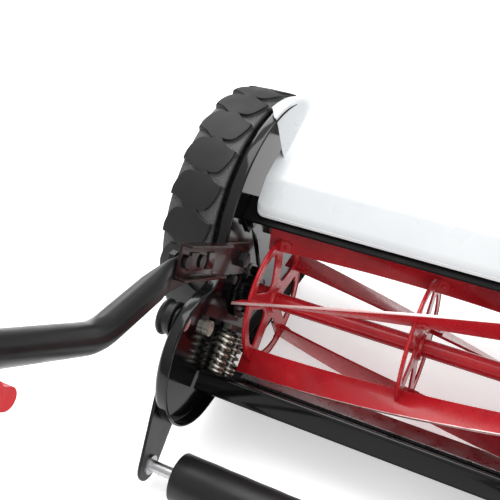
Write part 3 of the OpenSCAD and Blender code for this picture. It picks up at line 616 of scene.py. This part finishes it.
def plate_outline(inset):
    fillet, big, small = 20 + inset, PLATE_R - inset, LOBE_R - inset
    span = math.hypot(LOBE_Y, LOBE_Z)
    along = (span ** 2 + (big + fillet) ** 2 - (small + fillet) ** 2) / (2 * span)
    off = math.sqrt((big + fillet) ** 2 - along ** 2)
    lean = math.atan2(LOBE_Z, LOBE_Y)
    cy, cz = along * math.cos(lean) + off * math.sin(lean), along * math.sin(lean) - off * math.cos(lean)
    big_end = math.atan2(cz, cy) % (2 * math.pi)
    small_start = math.atan2(cz - LOBE_Z, cy - LOBE_Y) % (2 * math.pi)

    points = arc_line(0, 0, big, math.asin((BOTTOM + inset) / big), big_end, 90)
    points += arc_line(cy, cz, fillet, big_end - math.pi, small_start - math.pi, 14)[1:-1]
    points += arc_line(LOBE_Y, LOBE_Z, small, small_start, 1.5 * math.pi, 60)
    last, first = points[-1], points[0]
    points += [(last[0] + (first[0] - last[0]) * k / 110, BOTTOM + inset) for k in range(1, 110)]
    return points


def slot_outline():
    r = math.hypot(KNOB_Y - ARM_Y, KNOB_Z - ARM_Z)
    mid = math.atan2(KNOB_Z - ARM_Z, KNOB_Y - ARM_Y)
    a, b, w = mid - math.radians(15.5), mid + math.radians(9.5), 4.7
    line = arc_line(ARM_Y, ARM_Z, r + w, a, b, 16)
    line += arc_line(ARM_Y + r * math.cos(b), ARM_Z + r * math.sin(b), w, b, b + math.pi, 12)[1:-1]
    line += arc_line(ARM_Y, ARM_Z, r - w, b, a, 16)
    line += arc_line(ARM_Y + r * math.cos(a), ARM_Z + r * math.sin(a), w, a + math.pi, a + 2 * math.pi, 12)[1:-1]
    return line


def side_plates():
    # the rim's section, from the web over a rounded corner to a rolled lip and back
    section = [(9, -172.95), (4.6, -173), (2.6, -172.5), (1.2, -171.4), (0.3, -169.8), (0, -168), (0, -163),
               (0.1, -161.4), (0.6, -160.7), (1.2, -160.5), (1.8, -160.8), (2, -161.6), (2, -169.9),
               (2.2, -170.6), (2.8, -171), (5, -171.05), (9, -171.05)]
    verts, columns = [], 0
    for inset, x in section:
        line = plate_outline(inset)
        columns = len(line)
        for y, z in line:
            keep = 1.0
            if z < BOTTOM + 4 and NOTCH[0] - 2 < y < NOTCH[1] + 2:
                keep = max(smoothstep((NOTCH[0] + 2 - y) / 4), smoothstep((y - NOTCH[1] + 2) / 4))
            # in the notch the rim ends at the web's inner face
            verts.append(Vector((min(x, -171) + (x - min(x, -171)) * keep, y, z)))
    faces = grid_faces(len(section), columns, wrap_columns=True)
    holes = [slot_outline()] + [circle_points(y, z, r) for y, z, r in
                                ((0, 0, 6.1), (REEL.y, REEL.z, 8.1), (ARM_Y, ARM_Z, 4.1), (-95, 25, 4.1))]
    grow(verts, faces, *sheet([plate_outline(8)] + holes, -172.9, -171.1, 0.25))
    rib = smooth_path([(-171.6, -48, 27), (-171.6, -38, 6), (-171.6, -27, -50), (-171.6, -32, -60)], 9, 6)
    grow(verts, faces, *swept(rib, lambda t: 2.7 * min(1.0, 0.35 + 5 * t, 0.35 + 5 * (1 - t)), 16))
    both("side_plate", verts, faces, "black_gloss", "chassis", "side_plate_{}", 40)


side_plates()


# ---------- reel ----------

TUBE_R, SPIDER_R, BLADE_H, BLADE_T, REEL_R = 8.0, 61.5, 25.0, 2.5, 73.75
BLADES, PHASE, TWIST, BLADE_LEN = 5, math.radians(148.7), math.radians(56.7), 300.0


def blade_angle(i, x):
    return PHASE + 2 * math.pi * i / BLADES - TWIST * (x + BLADE_LEN / 2) / BLADE_LEN


def in_blade(i, x, radial, side):
    a = blade_angle(i, x)
    return Vector((x, REEL.y + radial * math.cos(a) - side * math.sin(a),
                   REEL.z + radial * math.sin(a) + side * math.cos(a)))


def blades():
    e = 0.45
    r0, r1, h = REEL_R - BLADE_H, REEL_R, BLADE_T / 2
    section = [(r0 + e, -h), (r1 - e, -h), (r1 - 0.1, -h + 0.2), (r1, 0), (r1 - 0.1, h - 0.2), (r1 - e, h),
               (r0 + e, h), (r0 + 0.1, h - e), (r0, 0), (r0 + 0.1, -h + e)]
    steps = 90
    for i in range(BLADES):
        verts = []
        for k in range(steps + 1):
            x = -BLADE_LEN / 2 + BLADE_LEN * k / steps
            verts += [in_blade(i, x, r, s) for r, s in section]
        faces = grid_faces(steps + 1, len(section), wrap_columns=True)
        faces += [tuple(range(len(section))), tuple(steps * len(section) + k for k in range(len(section)))]
        add(f"blade_{i + 1}", placed(verts), faces, "reel_red", "reel", (f"reel_blade_{i + 1}",), 30)


def window(x, i):
    """Outline of the opening between two blades, with rounded corners."""
    inner, outer, half, corner = 18.5, SPIDER_R - 10.0, 7.5, 6.0
    middle = blade_angle(i, x) + math.pi / BLADES
    reach = math.pi / BLADES
    def edge(r):
        return reach - math.asin(half / r)
    raw = [(outer, -edge(outer)), (outer, edge(outer)), (inner + 4, edge(inner + 4)), (inner, 0),
           (inner + 4, -edge(inner + 4))]
    flat = [Vector((0, REEL.y + r * math.cos(middle + a), REEL.z + r * math.sin(middle + a))) for r, a in raw]
    points = []
    count = len(flat)
    for k in range(count):
        before, here, after = flat[k - 1], flat[k], flat[(k + 1) % count]
        cut = corner if k in (0, 1) else 3.5
        a = here + (before - here).normalized() * cut
        b = here + (after - here).normalized() * cut
        for t in (m / 6 for m in range(7)):
            points.append(tuple((a * (1 - t) ** 2 + here * 2 * t * (1 - t) + b * t * t).yz))
        if k == 0:
            # the long outer edge follows the rim
            reach_out = edge(outer) - 0.11
            points += arc_line(REEL.y, REEL.z, outer, middle - reach_out, middle + reach_out, 12)[1:-1]
    return points


def spider(x, node):
    holes = [circle_points(REEL.y, REEL.z, TUBE_R + 0.1)] + [window(x, i) for i in range(BLADES)]
    verts, faces = sheet([circle_points(REEL.y, REEL.z, SPIDER_R, 96)] + holes, x - 1, x + 1, 0.4)
    # rolled rim and pressed ring round the hub
    for r, thick in ((SPIDER_R - 1.7, 1.65), (14.5, 1.5)):
        ring = [Vector((x, y, z)) for y, z in arc_line(REEL.y, REEL.z, r, 0, 2 * math.pi, 96)]
        grow(verts, faces, *swept(ring, thick, 10, False))
    collar = [(0.9, 8.1), (0.9, 14), (2, 12.6), (4.4, 12), (5, 11.4), (5, 8.1)]
    grow(verts, faces, *turned([(x + step, r) for step, r in collar], REEL.y, REEL.z, 48))
    for i in range(BLADES):
        # a tab bent along each blade, and the weld's dimple beside it
        tab = []
        for k in range(7):
            tx = x + 0.9 + 10 * k / 6
            trim = 2.5 * smoothstep((k - 4) / 2)
            tab += [in_blade(i, tx, r, s) for r, s in ((50 + trim, 1.4), (60.2 - trim, 1.4),
                                                       (60.2 - trim, 3.1), (50 + trim, 3.1))]
        grow(verts, faces, tab, grid_faces(7, 4, wrap_columns=True) + [(0, 1, 2, 3), (24, 25, 26, 27)])
        spot = [in_blade(i, x + 5.5, 55, 3.1), in_blade(i, x + 5.5, 55, 3.7)]
        grow(verts, faces, *swept(spot, lambda t: 2.4 - 1.6 * t, 14))
    add(node + "_pressing", placed(verts), faces, "reel_red", "reel", (node,), 35)


blades()
for where, node in ((-140, "reel_spider_left"), (0, "reel_spider_centre"), (140, "reel_spider_right")):
    spider(where, node)


# ---------- springs ----------

FOOT_Y, FOOT_Z = -115.9, -98.1
APEX_Y, APEX_Z = -150.0, -64.0


def on_web(x, u, n):
    span = math.hypot(APEX_Y - FOOT_Y, APEX_Z - FOOT_Z)
    cy, cz = (APEX_Y - FOOT_Y) / span, (APEX_Z - FOOT_Z) / span
    return Vector((x, FOOT_Y + cy * u + cz * n, FOOT_Z + cz * u - cy * n))


def springs(u, node):
    verts, faces = [], []
    turns, coil_r, wire, low, high = 6.5, 6.1, 1.55, 0.2, 37.7
    for x in (-160, 160):
        path = []
        steps = int(turns * 24)
        for k in range(steps + 1):
            share = k / steps
            a = 2 * math.pi * turns * share
            # the end turns lie closed against each other
            rise = smoothstep(share * 1.15 - 0.075)
            n = low + wire + (high - low - 2 * wire) * (0.12 * share + 0.88 * (0.6 * share + 0.4 * rise))
            centre = on_web(x, u, n)
            up_web = on_web(x, u + 1, n) - centre
            path.append(centre + Vector((coil_r * math.cos(a), 0, 0)) + up_web * coil_r * math.sin(a))
        grow(verts, faces, *swept(path, wire, 12))
    add(node + "_coil", placed(verts), faces, "zinc", "chassis", (node,), 50)


springs(9, "knife_springs_front")
springs(38, "knife_springs_rear")


# ---------- handles and grip ----------

TUBE_X, UPPER_X, TUBE = 163.5, 140.9, 11.0
SLOPE = math.radians(35)


def on_handle(x, v):
    return Vector((x, JOINT.y - v * math.cos(SLOPE), JOINT.z + v * math.sin(SLOPE)))


def handles():
    corner, bar_v = 60.0, 640.0
    path = [on_handle(-UPPER_X, -30)]
    path += [on_handle(-UPPER_X, v) for v in range(0, 580, 40)]
    for k in range(17):
        a = math.pi / 2 * k / 16
        path.append(on_handle(-UPPER_X + corner * (1 - math.cos(a)), bar_v - corner + corner * math.sin(a)))
    left = path
    path = left + [Vector((-p.x, p.y, p.z)) for p in reversed(left)]
    verts, faces = swept(path, TUBE, 32, True)
    add("upper_tube", placed(verts), faces, "black_satin", "upper_handle", ("upper_handle",), 45)
    grip = []
    for k in range(13):
        a = math.pi / 2 * (20 + 70 * k / 12) / 90
        grip.append(on_handle(-UPPER_X + corner * (1 - math.cos(a)), bar_v - corner + corner * math.sin(a)))
    grip += [on_handle(-UPPER_X + corner + (UPPER_X - corner) * k / 8, bar_v) for k in range(1, 9)]
    grip += [Vector((-p.x, p.y, p.z)) for p in reversed(grip[:-1])]
    dense = [a.lerp(b, k / 6) for a, b in zip(grip, grip[1:]) for k in range(6)] + [grip[-1]]

    def foam_r(t):
        end = min(t, 1 - t)
        return 11.4 + 4.9 * math.sqrt(min(1.0, end / 0.012)) - 0.25 * (1 + math.cos(2 * math.pi * t * 4)) / 2

    verts, faces = swept(dense, foam_r, 36, True)
    piece = add("foam_sleeve", placed(verts), faces, "foam", "upper_handle", ("foam_grip",), 60)


def lower_tubes():
    """A round tube whose end is squeezed flat, creased and bolted to the bracket."""
    flat_x = -164.3 + 2.5
    stations = [((flat_x, -150, 58), 2.4, 13.0, 0.1), ((flat_x, -170, 65.3), 2.4, 13.0, 0.1),
                ((flat_x, -190, 72.6), 2.5, 12.9, 0.15), ((flat_x - 0.2, -197, 75.2), 2.9, 12.8, 0.25),
                ((-162.6, -205, 76.6), 5.2, 12.2, 0.5), ((-163.2, -213, 77.4), 8.4, 11.5, 0.8),
                ((-TUBE_X, -221, 78.2), 10.9, 11.0, 1.0), ((-TUBE_X, -250, 81), 11, 11, 1.0)]
    bend = Vector((-TUBE_X, -286, 84.5))
    start = Vector((-TUBE_X, -250, 81.0))
    top = bend + Vector((0, -195 * math.cos(SLOPE), 195 * math.sin(SLOPE)))
    run = smooth_path([start, bend, top], 14, 10)[1:]
    centres = [Vector(s[0]) for s in stations] + run
    shape = [s[1:] for s in stations] + [(11.0, 11.0, 1.0)] * len(run)
    sides, verts = 32, []
    for i, (centre, (half_x, half_h, roundness)) in enumerate(zip(centres, shape)):
        step = (centres[min(i + 1, len(centres) - 1)] - centres[max(i - 1, 0)])
        lift = Vector((0, step.z, -step.y)).normalized()
        power = 0.35 + 0.65 * roundness
        for k in range(sides):
            a = 2 * math.pi * k / sides
            c, s = math.cos(a), math.sin(a)
            verts.append(centre + Vector((math.copysign(abs(c) ** power, c) * half_x, 0, 0))
                         + lift * math.copysign(abs(s) ** power, s) * half_h)
    faces = grid_faces(len(centres), sides, wrap_columns=True)
    faces += [tuple(range(sides)), tuple((len(centres) - 1) * sides + k for k in range(sides))]
    both("lower_tube", verts, faces, "black_satin", "lower_handle", "lower_tube_{}", 40)


handles()
lower_tubes()


# ---------- knobs, roller and caps ----------

def ridged(count, depth):
    return lambda a, r: r - depth * (0.5 + 0.5 * math.cos(count * a)) if r > 12 else r


def knobs():
    x = -176.6
    steps = [(0, 5), (0, 14.6), (0.5, 15.2), (2.6, 15.2), (3.2, 14.4), (3.8, 13.4), (7.6, 13.2), (8.4, 13.8),
             (9.2, 15.0), (10.0, 15.5), (11.6, 15.4), (12.8, 14.4), (13.4, 12), (13.6, 6), (13.7, 0.1)]
    profile = [(x - step, r) for step, r in steps]
    verts, faces = turned(profile, KNOB_Y, KNOB_Z, 144, ridged(36, 0.12))
    for end, vs in (("left", verts), ("right", mirrored(verts))):
        knob = f"height_knob_{end}"
        add(f"knob_{end}", placed(vs), faces, "knob_plastic", knob, (knob,), 35)
    # roller with end chamfers and faint moulding rings
    half = [(-145, 5.2), (-145, 19.4), (-144.4, 20.4), (-143.4, 20.9)]
    body = [(x2, 20.9 + (0.1 if k % 2 else -0.15)) for k, x2 in enumerate(range(-130, 131, 13))]
    profile = half + body + [(-px, r) for px, r in reversed(half)]
    verts, faces = turned(profile, -232, -106, 72)
    add("roller_tube", placed(verts), faces, "knob_plastic", "rear_roller", ("rear_roller",), 35)


knobs()

for node, width in (("tie_bar", 0.6), ("bearing_housings", 0.8), ("handle_bracket_left", 0.7),
                    ("handle_bracket_right", 0.7), ("knife_carrier", 0.8), ("bed_knife", 0.3),
                    ("height_arm_left", 0.8), ("height_arm_right", 0.8), ("adjuster_bracket_left", 0.6),
                    ("adjuster_bracket_right", 0.6), ("clamp_knob_left", 1.6), ("clamp_knob_right", 1.6),
                    ("frame_screws", 0.5), ("handle_pivot_bolts", 0.5), ("handle_bolts", 0.5),
                    ("adjuster_screws", 0.5), ("wheel_nuts", 0.5), ("axle_nuts", 0.5), ("knife_screws", 0.4),
                    ("clamp_bolts", 0.5), ("hub_cap_left", 0.5), ("hub_cap_right", 0.5),
                    ("wheel_left", 0.6), ("wheel_right", 0.6)):
    made = softened(node, width)
    if node == "adjuster_screws":
        made.data.materials[0] = DARK_ZINC
    if node == "tie_bar":
        made.data.materials[0] = DULL_BLACK


# ---------- stage ----------

def plain_material(name, color, rough):
    mat, tree, bsdf = new_material(name)
    bsdf.inputs["Base Color"].default_value = (*color, 1)
    bsdf.inputs["Roughness"].default_value = rough
    return mat


floor_mesh = bpy.data.meshes.new("floor")
FLOOR_HALF = 6.0
floor_mesh.from_pydata([(-FLOOR_HALF, -FLOOR_HALF, 0), (FLOOR_HALF, -FLOOR_HALF, 0),
                        (FLOOR_HALF, FLOOR_HALF, 0), (-FLOOR_HALF, FLOOR_HALF, 0)], [], [(0, 1, 2, 3)])
floor_finish = plain_material("floor_white", (0.92, 0.92, 0.92), 0.9)
floor_finish.node_tree.nodes["Principled BSDF"].inputs["Emission Color"].default_value = (1, 1, 1, 1)
floor_finish.node_tree.nodes["Principled BSDF"].inputs["Emission Strength"].default_value = 0.42
floor_mesh.materials.append(floor_finish)
floor = bpy.data.objects.new("floor", floor_mesh)
bpy.context.scene.collection.objects.link(floor)

world = bpy.data.worlds.new("studio")
bpy.context.scene.world = world
world.use_nodes = True
sky = world.node_tree.nodes["Background"]
sky.inputs["Color"].default_value = (1, 1, 1, 1)
direction = world.node_tree.nodes.new("ShaderNodeTexCoord")
parts = world.node_tree.nodes.new("ShaderNodeSeparateXYZ")
world.node_tree.links.new(direction.outputs["Generated"], parts.inputs[0])
# bright overhead, darker towards the horizon, so that black enamel keeps its contrast
world.node_tree.links.new(ranged(world.node_tree, parts.outputs["Z"], 0.05, 0.9, 0.35, 1.05),
                          sky.inputs["Strength"])


def softbox(name, place, target, size, power):
    data = bpy.data.lights.new(name, "AREA")
    data.shape = "RECTANGLE"
    data.size, data.size_y = size
    data.energy = power
    obj = bpy.data.objects.new(name, data)
    bpy.context.scene.collection.objects.link(obj)
    obj.location = place
    obj.rotation_euler = (Vector(target) - Vector(place)).to_track_quat("-Z", "Y").to_euler()


aim = A(0, 0, 0)
softbox("overhead", aim + Vector((-0.3, 0.3, 2.2)), aim, (2.0, 1.4), 38)
softbox("front_left", aim + Vector((-1.8, 1.4, 1.3)), aim, (1.2, 1.6), 22)
softbox("rear_right", aim + Vector((1.6, -1.6, 1.2)), aim, (1.2, 1.2), 14)

# ---------- camera ----------

SENSOR_MM = 36.0
camera_data = bpy.data.cameras.new("camera")
camera_data.sensor_width = SENSOR_MM
camera_data.lens = 55.84
camera = bpy.data.objects.new("camera", camera_data)
bpy.context.scene.collection.objects.link(camera)
forward = Vector((-0.36827, 0.72474, -0.58234)).normalized()
right = forward.cross(Vector((0, 0, 1))).normalized()
up = right.cross(forward)
turn = Matrix((right, up, -forward)).transposed()
camera.matrix_world = Matrix.Translation(A(95.3, -574.2, 422.2)) @ turn.to_4x4()
bpy.context.scene.camera = camera
bpy.context.scene.view_settings.view_transform = "Standard"
